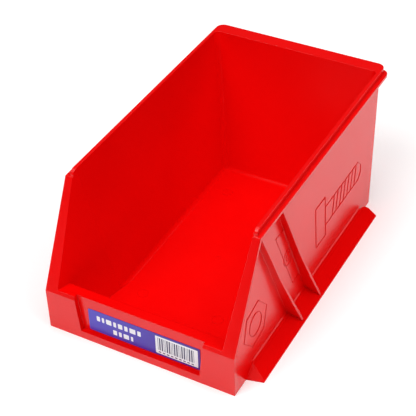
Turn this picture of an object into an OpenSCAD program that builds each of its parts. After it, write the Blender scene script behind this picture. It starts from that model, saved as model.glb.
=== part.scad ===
// Open-front bin for small parts: one moulded shell that stacks, stands or hangs, and its label.
// Millimetres. X is the width, the open front faces -Y, Z is up.
// The origin is the middle of the bin's outline, on the ground.

/* [Overall size] */
// Front face to the back of the hanging rim
bin_length = 250; // [180:1:320]
// Width over the side rims and the front panel
rim_width = 144; // [110:1:180]
// Ground to the top of the raised lip
bin_height = 110.3; // [90:0.1:140]
// Width over the two wings at the ground
wing_width = 167.6; // [150:0.1:200]

/* [Walls] */
// Thickness of the walls and the floor
wall = 2.5; // [1.8:0.1:3]
// Inner width at the floor
floor_width = 93; // [60:0.5:110]
// Inner width at the top
inner_width_top = 132.6; // [100:0.1:150]
// Front face to the back wall's inner face, at the floor
floor_back = 212.5; // [150:0.5:225]
// Front face to the back wall's inner face, at the top
inner_back_top = 238.9; // [170:0.1:245]
// Radius between the floor and the side and back walls
floor_fillet = 3.5; // [2:0.5:8]
// Radius between the floor and the front slope
front_fillet = 6; // [3:0.5:12]
// Radius of the two upright corners inside, at the back
corner_fillet = 3.5; // [2:0.5:8]
// Inner half width of the flared wall fronts, at the front face and the ground
flare_width = 57.1; // [50:0.1:62]
// How much the flare narrows per millimetre towards the back
flare_turn = 0.2126; // [0.1:0.01:0.4]
// How much the flare widens per millimetre upwards
flare_lean = 0.163; // [0.1:0.005:0.25]

/* [Front panel] */
// Height of the front panel's top ridge
panel_height = 36; // [30:0.5:50]
// Height at which its face starts to round back
panel_flat = 28.4; // [22:0.1:34]
// Thickness of the panel beside the label recess
panel_thick = 6.2; // [5:0.1:9]
// Thickness of the panel's ends, outside the side walls
panel_end = 4; // [2.5:0.1:6]
// Front face to the panel's inner top edge
panel_depth = 12; // [8:0.5:20]
// Lean of the slope behind the panel, in degrees from upright
slope_lean = 20; // [10:1:40]
// Depth of the label recess
recess_depth = 3.7; // [2:0.1:5]
// Width of the recess at the top
recess_top = 98; // [70:1:120]
// Width of the recess at the bottom
recess_foot = 92; // [70:1:120]
// Height of the ledge under the recess
recess_ledge = 6.5; // [3:0.5:10]

/* [Side fronts and rims] */
// Front face to the shoulder at the top of the slanting front edge
shoulder_back = 37; // [20:1:80]
// Height at which the slanting front edge starts
kink_height = 33.4; // [28:0.1:40]
// Thickness of the side rims and the slanting bands
flange = 2.3; // [1.8:0.1:3]
// Step from the side rim up to the top of the raised lip
lip_step = 4.3; // [2:0.1:6]
// Thickness of the raised lip
lip_thick = 2.6; // [2:0.1:4]
// Radius of the rim's rear corners
rim_corner = 6; // [3:0.5:10]

/* [Hanging rim] */
// Depth of the downturned edge at the back
hook_drop = 14; // [8:0.5:25]
// Thickness of the downturned edge
hook_thick = 2.4; // [2:0.1:4]
// Width of the downturned edge
hook_width = 126; // [80:1:136]

/* [Outer skin, wings and ribs] */
// Thickness of the outer skin on the sides and the back
skin = 2.2; // [1.5:0.1:3]
// Width over the outer skin, under the side rims
skin_width_top = 135; // [110:0.5:150]
// Front face to the back skin's outer face, at the ground
skin_back_foot = 226; // [200:0.5:240]
// Front face to the back skin's outer face, under the rim
skin_back_top = 241.5; // [220:0.5:246]
// Height of the hollow between the skin and the walls
hollow_height = 86; // [40:1:95]
// Thickness of the wings and the ribs
sheet = 2; // [1.5:0.1:3]
// Height at which the wings leave the outer skin
wing_top = 7.5; // [5:0.1:20]
// Front end of the wings, from the front face
wing_front = 16.2; // [10:0.1:40]
// Rear end of the wings, from the front face
wing_back = 212.5; // [180:0.1:220]
// Rise of the wings' closed front faces, in degrees from the ground
wing_rise = 37.5; // [20:0.5:80]
// Turn of those faces towards the outside, in degrees
wing_turn = 11; // [0:0.5:30]
// Upper ends of the two ribs on each side, from the front face
rib_tops = [39.3, 69.8];
// Lower ends of the two ribs on each side, from the front face
rib_feet = [83.4, 112.4];

/* [Label] */
// Width of the label
label_width = 86; // [60:1:90]
// Height of the label
label_height = 19.2; // [12:0.1:24]
// Thickness of the label
label_thick = 0.3; // [0.2:0.05:0.6]
// How far the label sits to the right of the middle
label_shift = 2.2; // [-4:0.1:4]
// Height of the label's lower edge
label_foot = 7.9; // [7:0.1:12]
// Radius of the label's corners
label_round = 1.2; // [0.4:0.1:3]

/* [Hidden] */
$fn = 96;
far = 200;
cut = 1;
half_rim = rim_width / 2;
half_wing = wing_width / 2;
rim_top = bin_height - lip_step;
rim_under = rim_top - flange;
lip_in = inner_width_top / 2;
side_lean = atan((lip_in - floor_width / 2) / (bin_height - wall));
back_lean = atan((inner_back_top - floor_back) / (bin_height - wall));
side_centre = [wall_x(wall + floor_fillet, -floor_fillet), wall + floor_fillet];
back_centre = [back_y(wall + floor_fillet, -floor_fillet), wall + floor_fillet];
panel_edge = [panel_depth, panel_height - 1.2];
front_centre = [slope_y(wall + front_fillet, -front_fillet), wall + front_fillet];
slant = atan2(shoulder_back, rim_top - kink_height);
band_depth = flange / cos(slant);
flare_angle = atan(flare_turn);

// Side wall's surface, a distance o outside the inner face
function wall_x(z, o) = floor_width / 2 + o / cos(side_lean) + (z - wall) * tan(side_lean);
// Back wall's surface, a distance o outside the inner face
function back_y(z, o) = floor_back + o / cos(back_lean) + (z - wall) * tan(back_lean);
// Front slope's surface, a distance o outside the inner face
function slope_y(z, o) =
    panel_edge[0] - o / cos(slope_lean) + (panel_edge[1] - z) * tan(slope_lean);
// Outer skin, a distance o inside its outer face: at the sides and at the back
function skin_x(z, o) = half_rim - o - z * (half_rim - skin_width_top / 2) / rim_under;
function skin_y(z, o) = skin_back_foot - o + z * (skin_back_top - skin_back_foot) / rim_under;
// Where the slanting front edge of the sides runs
function slant_y(z) = (z - kink_height) * tan(slant);
// Point on a circle
function on_circle(c, r, a) = [c[0] + r * cos(a), c[1] + r * sin(a)];

// Profile drawn as [y, z], from x0 to x1
module along_x(x0, x1) {
    translate([x0, 0, 0]) rotate([90, 0, 90]) linear_extrude(x1 - x0) children();
}
// Profile drawn as [x, z], from y0 to y1
module along_y(y0, y1) {
    translate([0, y1, 0]) rotate([90, 0, 0]) linear_extrude(y1 - y0) children();
}
// Rod along X or Y, for the fillets
module rod_x(c, r) { translate([-far, c[0], c[1]]) rotate([0, 90, 0]) cylinder(r = r, h = 2 * far); }
module rod_y(c, r) { translate([c[0], -far, c[1]]) rotate([-90, 0, 0]) cylinder(r = r, h = 3 * far); }

// The tub that the parts lie in, swollen by o: section across
module tub_across(o) {
    foot = on_circle(side_centre, floor_fillet + o, -side_lean);
    along_y(-far, 2 * far) polygon([
        [-side_centre[0], wall - o], [side_centre[0], wall - o], foot, [wall_x(far, o), far],
        [-wall_x(far, o), far], [-foot[0], foot[1]]
    ]);
    for (s = [-1, 1]) rod_y([s * side_centre[0], side_centre[1]], floor_fillet + o);
}
// The same: section along
module tub_along(o) {
    back_foot = on_circle(back_centre, floor_fillet + o, -back_lean);
    front_foot = on_circle(front_centre, front_fillet + o, 180 + slope_lean);
    along_x(-far, far) polygon([
        [front_centre[0], wall - o], [back_centre[0], wall - o], back_foot, [back_y(far, o), far],
        [-far, far], [-far, panel_height - o], [3, panel_height - o],
        [slope_y(panel_edge[1] - o, o), panel_edge[1] - o], front_foot
    ]);
    rod_x(back_centre, floor_fillet + o);
    rod_x(front_centre, front_fillet + o);
}
// The same: everything inside one flared wall front
module flare_side(o) {
    out = o * sqrt(1 + flare_turn * flare_turn + flare_lean * flare_lean);
    translate([flare_width + out, 0, 0]) rotate([0, atan(flare_lean * cos(flare_angle)), flare_angle])
        translate([-far, -far, -far]) cube([far, 2 * far, 2 * far]);
}
module tub(o) {
    intersection() {
        union() {
            tub_across(o);
            intersection() { flare_side(o); mirror([1, 0, 0]) flare_side(o); }
        }
        tub_along(o);
    }
}

// Everything inside the outer skin as one filled block
module outer_block() {
    lip_out = lip_in + lip_thick;
    behind = inner_back_top - 5;
    intersection() {
        along_y(0, bin_length) polygon([
            [-half_rim, 0], [half_rim, 0], [skin_x(rim_under, 0), rim_under], [lip_out, rim_top],
            [lip_out, bin_height], [-lip_out, bin_height], [-lip_out, rim_top],
            [-skin_x(rim_under, 0), rim_under]
        ]);
        along_x(-half_rim, half_rim) polygon([
            [0, 0], [0, kink_height], [shoulder_back, rim_top], [behind, rim_top], [behind, bin_height],
            [skin_y(bin_height, 0), bin_height], [skin_y(0, 0), 0]
        ]);
    }
}
// Hollow between the skin and the tub, open downwards
module under_hollow() {
    band_foot = kink_height + (panel_thick - band_depth) / tan(slant);
    difference() {
        intersection() {
            along_y(0, bin_length) polygon([
                [-skin_x(-cut, skin), -cut], [skin_x(-cut, skin), -cut],
                [skin_x(hollow_height, skin), hollow_height], [-skin_x(hollow_height, skin), hollow_height]
            ]);
            along_x(-half_rim, half_rim) polygon([
                [panel_thick, -cut], [panel_thick, band_foot],
                [slant_y(hollow_height) + band_depth, hollow_height],
                [skin_y(hollow_height, skin), hollow_height], [skin_y(-cut, skin), -cut]
            ]);
        }
        tub(wall);
    }
}

// Front panel with its rounded top, and its ends outside the side walls
module front_panel() {
    inner = flare_width + flare_lean * kink_height + wall;
    along_x(-inner, inner) polygon([
        [0, 0], [0, panel_flat], [0.2, 31], [0.6, 33.2], [1.2, 34.9], [2, 35.7], [3, panel_height],
        panel_edge, [panel_depth, panel_edge[1] - wall], [panel_thick, panel_edge[1] - wall], [panel_thick, 0]
    ]);
    along_x(-half_rim, half_rim)
        polygon([[0, 0], [0, kink_height], [panel_end, kink_height], [panel_end, 0]]);
}
module label_recess() {
    along_y(-cut, recess_depth) polygon([
        [-recess_foot / 2, recess_ledge], [recess_foot / 2, recess_ledge],
        [recess_top / 2, panel_height + cut], [-recess_top / 2, panel_height + cut]
    ]);
}

// Flange on the slanting front edge of a side wall
module slanting_band() {
    along_x(floor_width / 2, half_rim) polygon([
        [0, kink_height], [shoulder_back, rim_top], [shoulder_back + band_depth, rim_top],
        [band_depth, kink_height], [band_depth, 28], [0, 28]
    ]);
}
// Side rim and the lip that stands on it
module side_rim() {
    inside = lip_in - 3;
    lip_front = shoulder_back + 1 + lip_step;
    translate([0, 0, rim_under]) linear_extrude(flange) union() {
        translate([inside, shoulder_back]) square([half_rim - inside, bin_length - rim_corner - shoulder_back]);
        translate([inside, shoulder_back]) square([half_rim - rim_corner - inside, bin_length - shoulder_back]);
        translate([half_rim - rim_corner, bin_length - rim_corner]) circle(r = rim_corner);
    }
    translate([inside, lip_front, rim_under])
        cube([lip_thick + 3, inner_back_top - lip_front, bin_height - rim_under]);
    intersection() {
        translate([inside, lip_front, rim_top]) rotate([0, 90, 0]) cylinder(r = lip_step, h = lip_thick + 3);
        translate([0, 0, rim_under]) cube([half_rim, bin_length, lip_step + flange]);
    }
}
// Rear rim: a band with round corners, solid at its ends and turned down between them
module rear_band(half, thick) {
    front = inner_back_top - 2;
    translate([0, 0, bin_height - thick]) linear_extrude(thick) union() {
        translate([-half, front]) square([2 * half, bin_length - rim_corner - front]);
        translate([-half + rim_corner, front]) square([2 * (half - rim_corner), bin_length - front]);
        for (s = [-1, 1]) translate([s * (half - rim_corner), bin_length - rim_corner]) circle(r = rim_corner);
    }
}
module hanging_rim() {
    half = lip_in + lip_thick;
    rear_band(half, wall);
    difference() {
        rear_band(half, bin_height - rim_under);
        translate([-hook_width / 2, 0, 0]) cube([hook_width, bin_length + cut, bin_height]);
    }
    translate([-hook_width / 2, bin_length - hook_thick, bin_height - hook_drop])
        cube([hook_width, hook_thick, hook_drop]);
}
// Fillet up one inner back corner, square to the line in which the two leaning walls meet
module corner_post() {
    r = corner_fillet;
    skew = asin(sin(side_lean) * sin(back_lean));
    centre = [-r, -r * (1 - sin(skew)) / cos(skew)];
    translate([wall_x(0, 0), back_y(0, 0), 0])
        rotate([-atan(tan(back_lean) * cos(side_lean)), side_lean, 0])
        linear_extrude(bin_height * 1.1) difference() {
            polygon([
                centre, centre + [r + wall, 0], [wall, wall], centre + (r + wall) * [sin(skew), cos(skew)]
            ]);
            translate(centre) circle(r = r);
        }
}

// Everything under the wing's front face, a distance o behind it
module wing_front_side(o) {
    translate([half_rim, wing_front, 0]) rotate([wing_rise, wing_turn, 0])
        translate([-far, -far, -far - o]) cube([2 * far, 2 * far, far]);
}
// Sheet that slopes from the outer skin down to the ground, with a closed front end
module wing() {
    foot = half_rim;
    difference() {
        intersection() {
            along_y(0, bin_length) polygon([
                [foot - 1.2, wing_top + 2.5], [foot - 0.4, wing_top + 1.7], [foot + 0.1, wing_top + 0.5],
                [foot + 1.4, wing_top - 0.7], [half_wing - 0.7, 1.2], [half_wing, 0.8],
                [half_wing, 0], [foot - 1.2, 0]
            ]);
            linear_extrude(wing_top + 3) polygon([
                [foot - 2, 0], [half_wing, 0], [half_wing, wing_back], [half_wing - 7, wing_back + 1.2],
                [foot + 2.4, wing_back], [foot + 1, wing_back - 2.6], [foot + 0.4, wing_back - 6],
                [foot - 2, wing_back - 8]
            ]);
            wing_front_side(0);
        }
        intersection() {
            along_y(0, bin_length) polygon([
                [foot - 3, wing_top - 1.5], [foot - 1.2, wing_top - 1.5], [half_wing - 2.4, 0],
                [half_wing - 2.4, -cut], [foot - 3, -cut]
            ]);
            wing_front_side(1.4);
        }
    }
}
// Slanting rib between the rim and the wing
module rib(n) {
    lean = (rib_feet[n] - rib_tops[n]) / rim_under;
    top = rim_under + flange / 2;
    foot = skin_x(0, 0);
    intersection() {
        along_y(0, bin_length) polygon([
            [skin_x(top, 1), top], [half_rim, top], [73.6, 85], [75.5, 54], [79.1, 24], [82.4, 1.4],
            [foot + 1.4, wing_top - 1.4], [skin_x(wing_top, 1), wing_top]
        ]);
        along_x(0, half_wing) polygon([
            [rib_feet[n] - sheet / 2, 0], [rib_feet[n] + sheet / 2, 0],
            [rib_tops[n] + sheet / 2 - lean * flange / 2, top], [rib_tops[n] - sheet / 2 - lean * flange / 2, top]
        ]);
    }
}

module bin_body() color([0.86, 0.02, 0.03]) translate([0, -bin_length / 2, 0]) {
    difference() {
        union() {
            difference() {
                outer_block();
                under_hollow();
            }
            front_panel();
            hanging_rim();
            for (s = [0, 1]) mirror([s, 0, 0]) {
                slanting_band();
                side_rim();
                wing();
                rib(0);
                rib(1);
            }
        }
        difference() {
            tub(0);
            for (s = [0, 1]) mirror([s, 0, 0]) corner_post();
        }
        label_recess();
    }
}

module label() color([0.16, 0.1, 0.5])
    translate([label_shift, recess_depth - bin_length / 2, label_foot + label_height / 2]) rotate([90, 0, 0]) linear_extrude(label_thick) union() {
        square([label_width - 2 * label_round, label_height], center = true);
        square([label_width, label_height - 2 * label_round], center = true);
        for (x = [-1, 1], y = [-1, 1])
            translate([x * (label_width / 2 - label_round), y * (label_height / 2 - label_round)])
                circle(r = label_round, $fn = 24);
    }

bin_body();
label();
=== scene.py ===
import math

import bmesh
import bpy
from mathutils import Matrix, Vector


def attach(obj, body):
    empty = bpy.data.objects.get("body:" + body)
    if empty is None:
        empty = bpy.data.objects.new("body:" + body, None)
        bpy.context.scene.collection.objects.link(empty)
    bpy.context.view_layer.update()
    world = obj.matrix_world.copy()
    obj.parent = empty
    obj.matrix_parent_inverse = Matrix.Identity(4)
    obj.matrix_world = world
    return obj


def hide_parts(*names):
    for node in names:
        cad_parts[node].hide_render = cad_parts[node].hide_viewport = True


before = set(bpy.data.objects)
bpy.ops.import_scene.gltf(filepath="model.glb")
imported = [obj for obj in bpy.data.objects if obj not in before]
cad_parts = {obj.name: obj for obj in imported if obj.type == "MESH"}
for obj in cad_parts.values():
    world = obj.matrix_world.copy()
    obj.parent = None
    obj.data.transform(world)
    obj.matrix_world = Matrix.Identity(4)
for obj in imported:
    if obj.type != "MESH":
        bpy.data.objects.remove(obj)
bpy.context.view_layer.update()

MM = 0.001

# sizes that the part's source also has, in millimetres
HALF_LENGTH = 125.0
HALF_RIM = 72.0
RIM_UNDER = 103.7
SKIN_DRAW = 4.5
FLOOR_TOP = 2.5
RECESS_DEPTH = 3.7
LABEL_WIDTH, LABEL_HEIGHT, LABEL_THICK = 86.0, 19.2, 0.3
LABEL_SHIFT, LABEL_FOOT, LABEL_ROUND = 2.2, 7.9, 1.2

# ---------------------------------------------------------------- camera
camera_data = bpy.data.cameras.new("camera")
camera_data.lens = 104.5
camera_data.sensor_width = 36.0
camera_data.clip_end = 20.0
camera = bpy.data.objects.new("camera", camera_data)
bpy.context.scene.collection.objects.link(camera)
bpy.context.scene.camera = camera
azimuth, elevation, roll = math.radians(29.41), math.radians(38.87), math.radians(-1.72)
aim = Vector((0.0365, -0.0900, 0.1190))
distance = 0.7466
level = math.cos(elevation)
back = Vector((math.sin(azimuth) * level, -math.cos(azimuth) * level, math.sin(elevation)))
right = Vector((math.cos(azimuth), math.sin(azimuth), 0.0))
up = back.cross(right)
right_rolled = right * math.cos(roll) + up * math.sin(roll)
up_rolled = up * math.cos(roll) - right * math.sin(roll)
turn = Matrix((right_rolled, up_rolled, back)).transposed().to_4x4()
camera.matrix_world = Matrix.Translation(aim + back * distance) @ turn


# ---------------------------------------------------------------- helpers
def new_object(name, bm, smooth=True):
    mesh = bpy.data.meshes.new(name)
    bm.to_mesh(mesh)
    bm.free()
    for p in mesh.polygons:
        p.use_smooth = smooth
    obj = bpy.data.objects.new(name, mesh)
    bpy.context.scene.collection.objects.link(obj)
    return obj


def finish_piece(obj, mat, replaced=None):
    obj.data.materials.clear()
    obj.data.materials.append(mat)
    if replaced:
        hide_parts(replaced)
    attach(obj, "root")
    return obj


class Nodes:
    """Short forms for building a procedural material."""

    def __init__(self, name):
        self.mat = bpy.data.materials.new(name)
        self.mat.use_nodes = True
        self.tree = self.mat.node_tree
        self.bsdf = self.tree.nodes["Principled BSDF"]
        self.coords = self.tree.nodes.new("ShaderNodeTexCoord").outputs["Object"]

    def add(self, kind, **settings):
        node = self.tree.nodes.new(kind)
        for key, value in settings.items():
            setattr(node, key, value)
        return node

    def link(self, a, b):
        self.tree.links.new(a, b)

    def noise(self, scale, detail=4.0, rough=0.5):
        node = self.add("ShaderNodeTexNoise")
        node.inputs["Scale"].default_value = scale
        node.inputs["Detail"].default_value = detail
        node.inputs["Roughness"].default_value = rough
        self.link(self.coords, node.inputs["Vector"])
        return node.outputs["Fac"]

    def spread(self, source, low, high, a, b):
        node = self.add("ShaderNodeMapRange")
        node.inputs["From Min"].default_value = low
        node.inputs["From Max"].default_value = high
        node.inputs["To Min"].default_value = a
        node.inputs["To Max"].default_value = b
        self.link(source, node.inputs["Value"])
        return node.outputs["Result"]

    def blend(self, factor, a, b):
        node = self.add("ShaderNodeMix", data_type="RGBA")
        self.link(factor, node.inputs["Factor"])
        node.inputs["A"].default_value = (*a, 1)
        node.inputs["B"].default_value = (*b, 1)
        return node.outputs["Result"]


# ---------------------------------------------------------------- materials
def red_plastic():
    n = Nodes("red_moulding")
    # slight flow variation in the colour
    flow = n.spread(n.noise(14, 3), 0.3, 0.7, 0, 1)
    n.link(n.blend(flow, (0.79, 0.0009, 0.0009), (0.83, 0.0016, 0.0015)), n.bsdf.inputs["Base Color"])
    # gloss that differs slightly from place to place
    n.link(n.spread(n.noise(60, 6, 0.6), 0.3, 0.75, 0.19, 0.27), n.bsdf.inputs["Roughness"])
    n.bsdf.inputs["IOR"].default_value = 1.49
    # the photo shows almost no sheen inside, so the gloss is lowered on surfaces that face the bin's middle
    middle = n.add("ShaderNodeVectorMath", operation="SUBTRACT")
    middle.inputs[1].default_value = (0, 0, 0.055)
    n.link(n.coords, middle.inputs[0])
    facing = n.add("ShaderNodeVectorMath", operation="DOT_PRODUCT")
    n.link(middle.outputs["Vector"], facing.inputs[0])
    n.link(n.add("ShaderNodeNewGeometry").outputs["True Normal"], facing.inputs[1])
    n.link(n.spread(facing.outputs["Value"], 0.040, 0.050, 0.04, 0.40), n.bsdf.inputs["Specular IOR Level"])
    # edges rounded in shading only, then a very fine surface texture
    edge = n.add("ShaderNodeBevel", samples=8)
    edge.inputs["Radius"].default_value = 0.7 * MM
    bump = n.add("ShaderNodeBump")
    bump.inputs["Strength"].default_value = 0.05
    bump.inputs["Distance"].default_value = 0.05 * MM
    n.link(n.noise(1800, 2), bump.inputs["Height"])
    n.link(edge.outputs["Normal"], bump.inputs["Normal"])
    n.link(bump.outputs["Normal"], n.bsdf.inputs["Normal"])
    return n.mat


def print_ink(name, colour, other, rough):
    n = Nodes(name)
    n.link(n.blend(n.spread(n.noise(40, 3), 0.3, 0.7, 0, 1), colour, other), n.bsdf.inputs["Base Color"])
    n.link(n.spread(n.noise(300, 4), 0.3, 0.7, rough - 0.04, rough + 0.04), n.bsdf.inputs["Roughness"])
    bump = n.add("ShaderNodeBump")
    bump.inputs["Strength"].default_value = 0.04
    bump.inputs["Distance"].default_value = 0.05 * MM
    n.link(n.noise(2500, 2), bump.inputs["Height"])
    n.link(bump.outputs["Normal"], n.bsdf.inputs["Normal"])
    return n.mat


def label_stock():
    n = Nodes("label_stock")
    # blue fading to violet along the label
    split = n.add("ShaderNodeSeparateXYZ")
    n.link(n.coords, split.inputs["Vector"])
    fade = n.spread(split.outputs["X"], -0.040, 0.046, 0, 1)
    n.link(n.blend(fade, (0.060, 0.050, 0.52), (0.045, 0.0, 0.26)), n.bsdf.inputs["Base Color"])
    n.link(n.spread(n.noise(200, 4), 0.3, 0.7, 0.30, 0.38), n.bsdf.inputs["Roughness"])
    bump = n.add("ShaderNodeBump")
    bump.inputs["Strength"].default_value = 0.05
    bump.inputs["Distance"].default_value = 0.05 * MM
    n.link(n.noise(900, 3), bump.inputs["Height"])
    n.link(bump.outputs["Normal"], n.bsdf.inputs["Normal"])
    return n.mat


RED = red_plastic()
WHITE_INK = print_ink("white_ink", (0.86, 0.86, 0.88), (0.80, 0.80, 0.84), 0.36)
DARK_INK = print_ink("dark_ink", (0.045, 0.04, 0.10), (0.06, 0.05, 0.14), 0.34)

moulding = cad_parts["bin_body"]
for material_slot in moulding.material_slots:
    material_slot.material = RED


# ---------------------------------------------------------------- label in the recess
LABEL_FRONT = -HALF_LENGTH + RECESS_DEPTH - LABEL_THICK
LABEL_X, LABEL_Z = LABEL_SHIFT, LABEL_FOOT + LABEL_HEIGHT / 2


def rounded_outline(x0, x1, z0, z1, r, steps=6):
    points = []
    corners = ((x1 - r, z1 - r, 0), (x0 + r, z1 - r, 90), (x0 + r, z0 + r, 180), (x1 - r, z0 + r, 270))
    for cx, cz, start in corners:
        for i in range(steps + 1):
            a = math.radians(start + 90 * i / steps)
            points.append((cx + r * math.cos(a), cz + r * math.sin(a)))
    return points


def plate(bm, outline, y_back, y_front):
    """A flat printed or raised shape that faces the front."""
    rear = [bm.verts.new((x * MM, y_back * MM, z * MM)) for x, z in outline]
    face = [bm.verts.new((x * MM, y_front * MM, z * MM)) for x, z in outline]
    bm.faces.new(face[::-1])
    bm.faces.new(rear)
    for i in range(len(outline)):
        j = (i + 1) % len(outline)
        bm.faces.new((rear[i], face[i], face[j], rear[j]))


def bar(bm, x0, x1, z0, z1, depth, r=0.25):
    r = min(r, (x1 - x0) / 2.01, (z1 - z0) / 2.01)
    plate(bm, rounded_outline(LABEL_X + x0, LABEL_X + x1, LABEL_Z + z0, LABEL_Z + z1, r, 3),
          LABEL_FRONT + 0.02, LABEL_FRONT - depth)


def square_up(bm):
    bmesh.ops.recalc_face_normals(bm, faces=bm.faces)


bm = bmesh.new()
outline = rounded_outline(LABEL_X - LABEL_WIDTH / 2, LABEL_X + LABEL_WIDTH / 2,
                          LABEL_Z - LABEL_HEIGHT / 2, LABEL_Z + LABEL_HEIGHT / 2, LABEL_ROUND)
plate(bm, outline, LABEL_FRONT + LABEL_THICK, LABEL_FRONT)
square_up(bm)
sheet = new_object("label_sheet", bm, smooth=False)
finish_piece(sheet, label_stock(), "label")

# white print: two rows of plain blocks where the wording would be
bm = bmesh.new()
for start, row_z, height, widths in ((-36.5, 1.0, 4.4, (2.6, 1.8, 4.2, 2.2, 3.4, 2.6, 4.6, 2.6)),
                                     (-24.0, -6.4, 4.2, (3.0, 2.2, 4.2, 1.8))):
    x = start
    for width in widths:
        bar(bm, x, x + width, row_z, row_z + height, 0.02, 0.5)
        x += width + 1.5
# white patch behind the stripes
bar(bm, 9.2, 41.2, -8.0, 7.8, 0.02, 0.5)
square_up(bm)
white_print = new_object("label_white_print", bm, smooth=False)
finish_piece(white_print, WHITE_INK)

# dark stripes of unequal width on the patch, meaning nothing
bm = bmesh.new()
x, step = 11.0, 0
while x < 38.5:
    width = 0.35 + 0.35 * ((step * 5 + step * step) % 4)
    bar(bm, x, x + width, -4.8, 6.4, 0.035, 0.05)
    x += width + 0.4 + 0.3 * ((step * 3 + 1) % 3)
    step += 1
for i in range(9):
    bar(bm, 11.4 + 3.1 * i, 13.2 + 3.1 * i, -7.0, -6.0, 0.035, 0.2)
square_up(bm)
stripes = new_object("label_stripes", bm, smooth=False)
finish_piece(stripes, DARK_INK)


# ---------------------------------------------------------------- raised marks on the outer skin
def skin_x(z):
    """Outer face of the side skin at a height, in millimetres."""
    return HALF_RIM - z * SKIN_DRAW / RIM_UNDER


def raised_line(bm, points, closed, width=0.7, height=0.35):
    """A thin raised line on both side skins through points given as (y from the front, z)."""
    count = len(points)
    for i in range(count if closed else count - 1):
        (y0, z0), (y1, z1) = points[i], points[(i + 1) % count]
        length = math.hypot(y1 - y0, z1 - z0)
        dy, dz = (y1 - y0) / length, (z1 - z0) / length
        reach = width * 0.25
        y0, z0, y1, z1 = y0 - dy * reach, z0 - dz * reach, y1 + dy * reach, z1 + dz * reach
        side = (-dz * width / 2, dy * width / 2)
        for sign in (1, -1):
            rows = []
            for y, z in ((y0, z0), (y1, z1)):
                rows.append([bm.verts.new((sign * (skin_x(z + k * side[1]) + out) * MM,
                                           (y + k * side[0] - HALF_LENGTH) * MM, (z + k * side[1]) * MM))
                             for k, out in ((1, -0.15), (0.55, height), (-0.55, height), (-1, -0.15))])
            a, b = rows
            for k in range(3):
                bm.faces.new((a[k], a[k + 1], b[k + 1], b[k]))
            bm.faces.new((a[3], a[0], b[0], b[3]))
            bm.faces.new(a)
            bm.faces.new(b[::-1])


def ring(cy, cz, r, sides, turn_by=0.0):
    return [(cy + r * math.cos(math.radians(turn_by + 360 * i / sides)),
             cz + r * math.sin(math.radians(turn_by + 360 * i / sides))) for i in range(sides)]


bm = bmesh.new()
# a nut between the front edge and the first rib
raised_line(bm, ring(33, 36, 17, 6, 12), True)
raised_line(bm, ring(33, 36, 8.5, 36), True)
# a frame between the ribs with a plain washer in it
raised_line(bm, [(66, 82), (77, 82), (100, 27), (89, 27)], True)
raised_line(bm, ring(83, 54.5, 6.6, 32), True)
raised_line(bm, ring(83, 54.5, 3.0, 24), True)
# a bolt on the rear panel
raised_line(bm, [(128, 28), (128, 62), (144, 62), (144, 53), (203, 53), (208, 48.5), (208, 41.5), (203, 37),
                 (144, 37), (144, 28)], True)
raised_line(bm, [(144, 53), (144, 37)], False)
for i in range(7):
    raised_line(bm, [(156 + 6.6 * i, 37.5), (160 + 6.6 * i, 52.5)], False)
square_up(bm)
marks = new_object("raised_marks", bm, smooth=False)
finish_piece(marks, RED)

# ---------------------------------------------------------------- small marks of the mould
# gate scar and ejector rings on the inside of the floor
bm = bmesh.new()


def floor_ring(cx, cy, r, tube=0.18, sides=40):
    rings = []
    for i in range(sides):
        a = 2 * math.pi * i / sides
        rings.append([bm.verts.new(((cx + (r + tube * math.cos(t)) * math.cos(a)) * MM,
                                    (cy + (r + tube * math.cos(t)) * math.sin(a)) * MM,
                                    (FLOOR_TOP - 0.04 + tube * 0.55 * math.sin(t)) * MM))
                      for t in (0.0, math.pi / 3, 2 * math.pi / 3, math.pi, 1.5 * math.pi)])
    for i in range(sides):
        a, b = rings[i], rings[(i + 1) % sides]
        for k in range(5):
            bm.faces.new((a[k], a[(k + 1) % 5], b[(k + 1) % 5], b[k]))


floor_ring(0, -12, 1.6)
for cx in (-30, 30):
    for cy in (-70, 60):
        floor_ring(cx, cy, 4.0, 0.12)
square_up(bm)
scars = new_object("mould_rings", bm)
finish_piece(scars, RED)

# ---------------------------------------------------------------- floor and light
bm = bmesh.new()
bmesh.ops.create_grid(bm, x_segments=2, y_segments=2, size=6.0)
floor = new_object("floor", bm, smooth=False)
floor_mat = bpy.data.materials.new("floor")
floor_mat.use_nodes = True
floor_bsdf = floor_mat.node_tree.nodes["Principled BSDF"]
floor_bsdf.inputs["Base Color"].default_value = (0.97, 0.97, 0.97, 1)
floor_bsdf.inputs["Roughness"].default_value = 0.9
floor_bsdf.inputs["Specular IOR Level"].default_value = 0.0
# a faint light of its own keeps the floor white out to the picture's edges
floor_bsdf.inputs["Emission Color"].default_value = (1, 1, 1, 1)
floor_bsdf.inputs["Emission Strength"].default_value = 0.14
floor.data.materials.append(floor_mat)

world = bpy.data.worlds.new("world")
bpy.context.scene.world = world
world.use_nodes = True
world.node_tree.nodes["Background"].inputs["Color"].default_value = (1, 1, 1, 1)
world.node_tree.nodes["Background"].inputs["Strength"].default_value = 0.06
bpy.context.scene.view_settings.view_transform = "Standard"


def soft_box(name, size, power, place, target):
    light = bpy.data.lights.new(name, "AREA")
    light.shape = "RECTANGLE"
    light.size, light.size_y = size
    light.energy = power
    obj = bpy.data.objects.new(name, light)
    obj.location = place
    obj.rotation_euler = (Vector(target) - Vector(place)).to_track_quat("-Z", "Y").to_euler()
    bpy.context.scene.collection.objects.link(obj)
    return obj


soft_box("key", (1.0, 1.0), 15, (-0.35, -1.0, 1.4), (0, 0, 0.03))
soft_box("overhead", (3.0, 3.0), 42, (0.1, 0.1, 2.3), (0, 0, 0.03))
soft_box("right", (1.2, 1.2), 9, (1.2, 0.1, 1.2), (0, 0, 0.03))
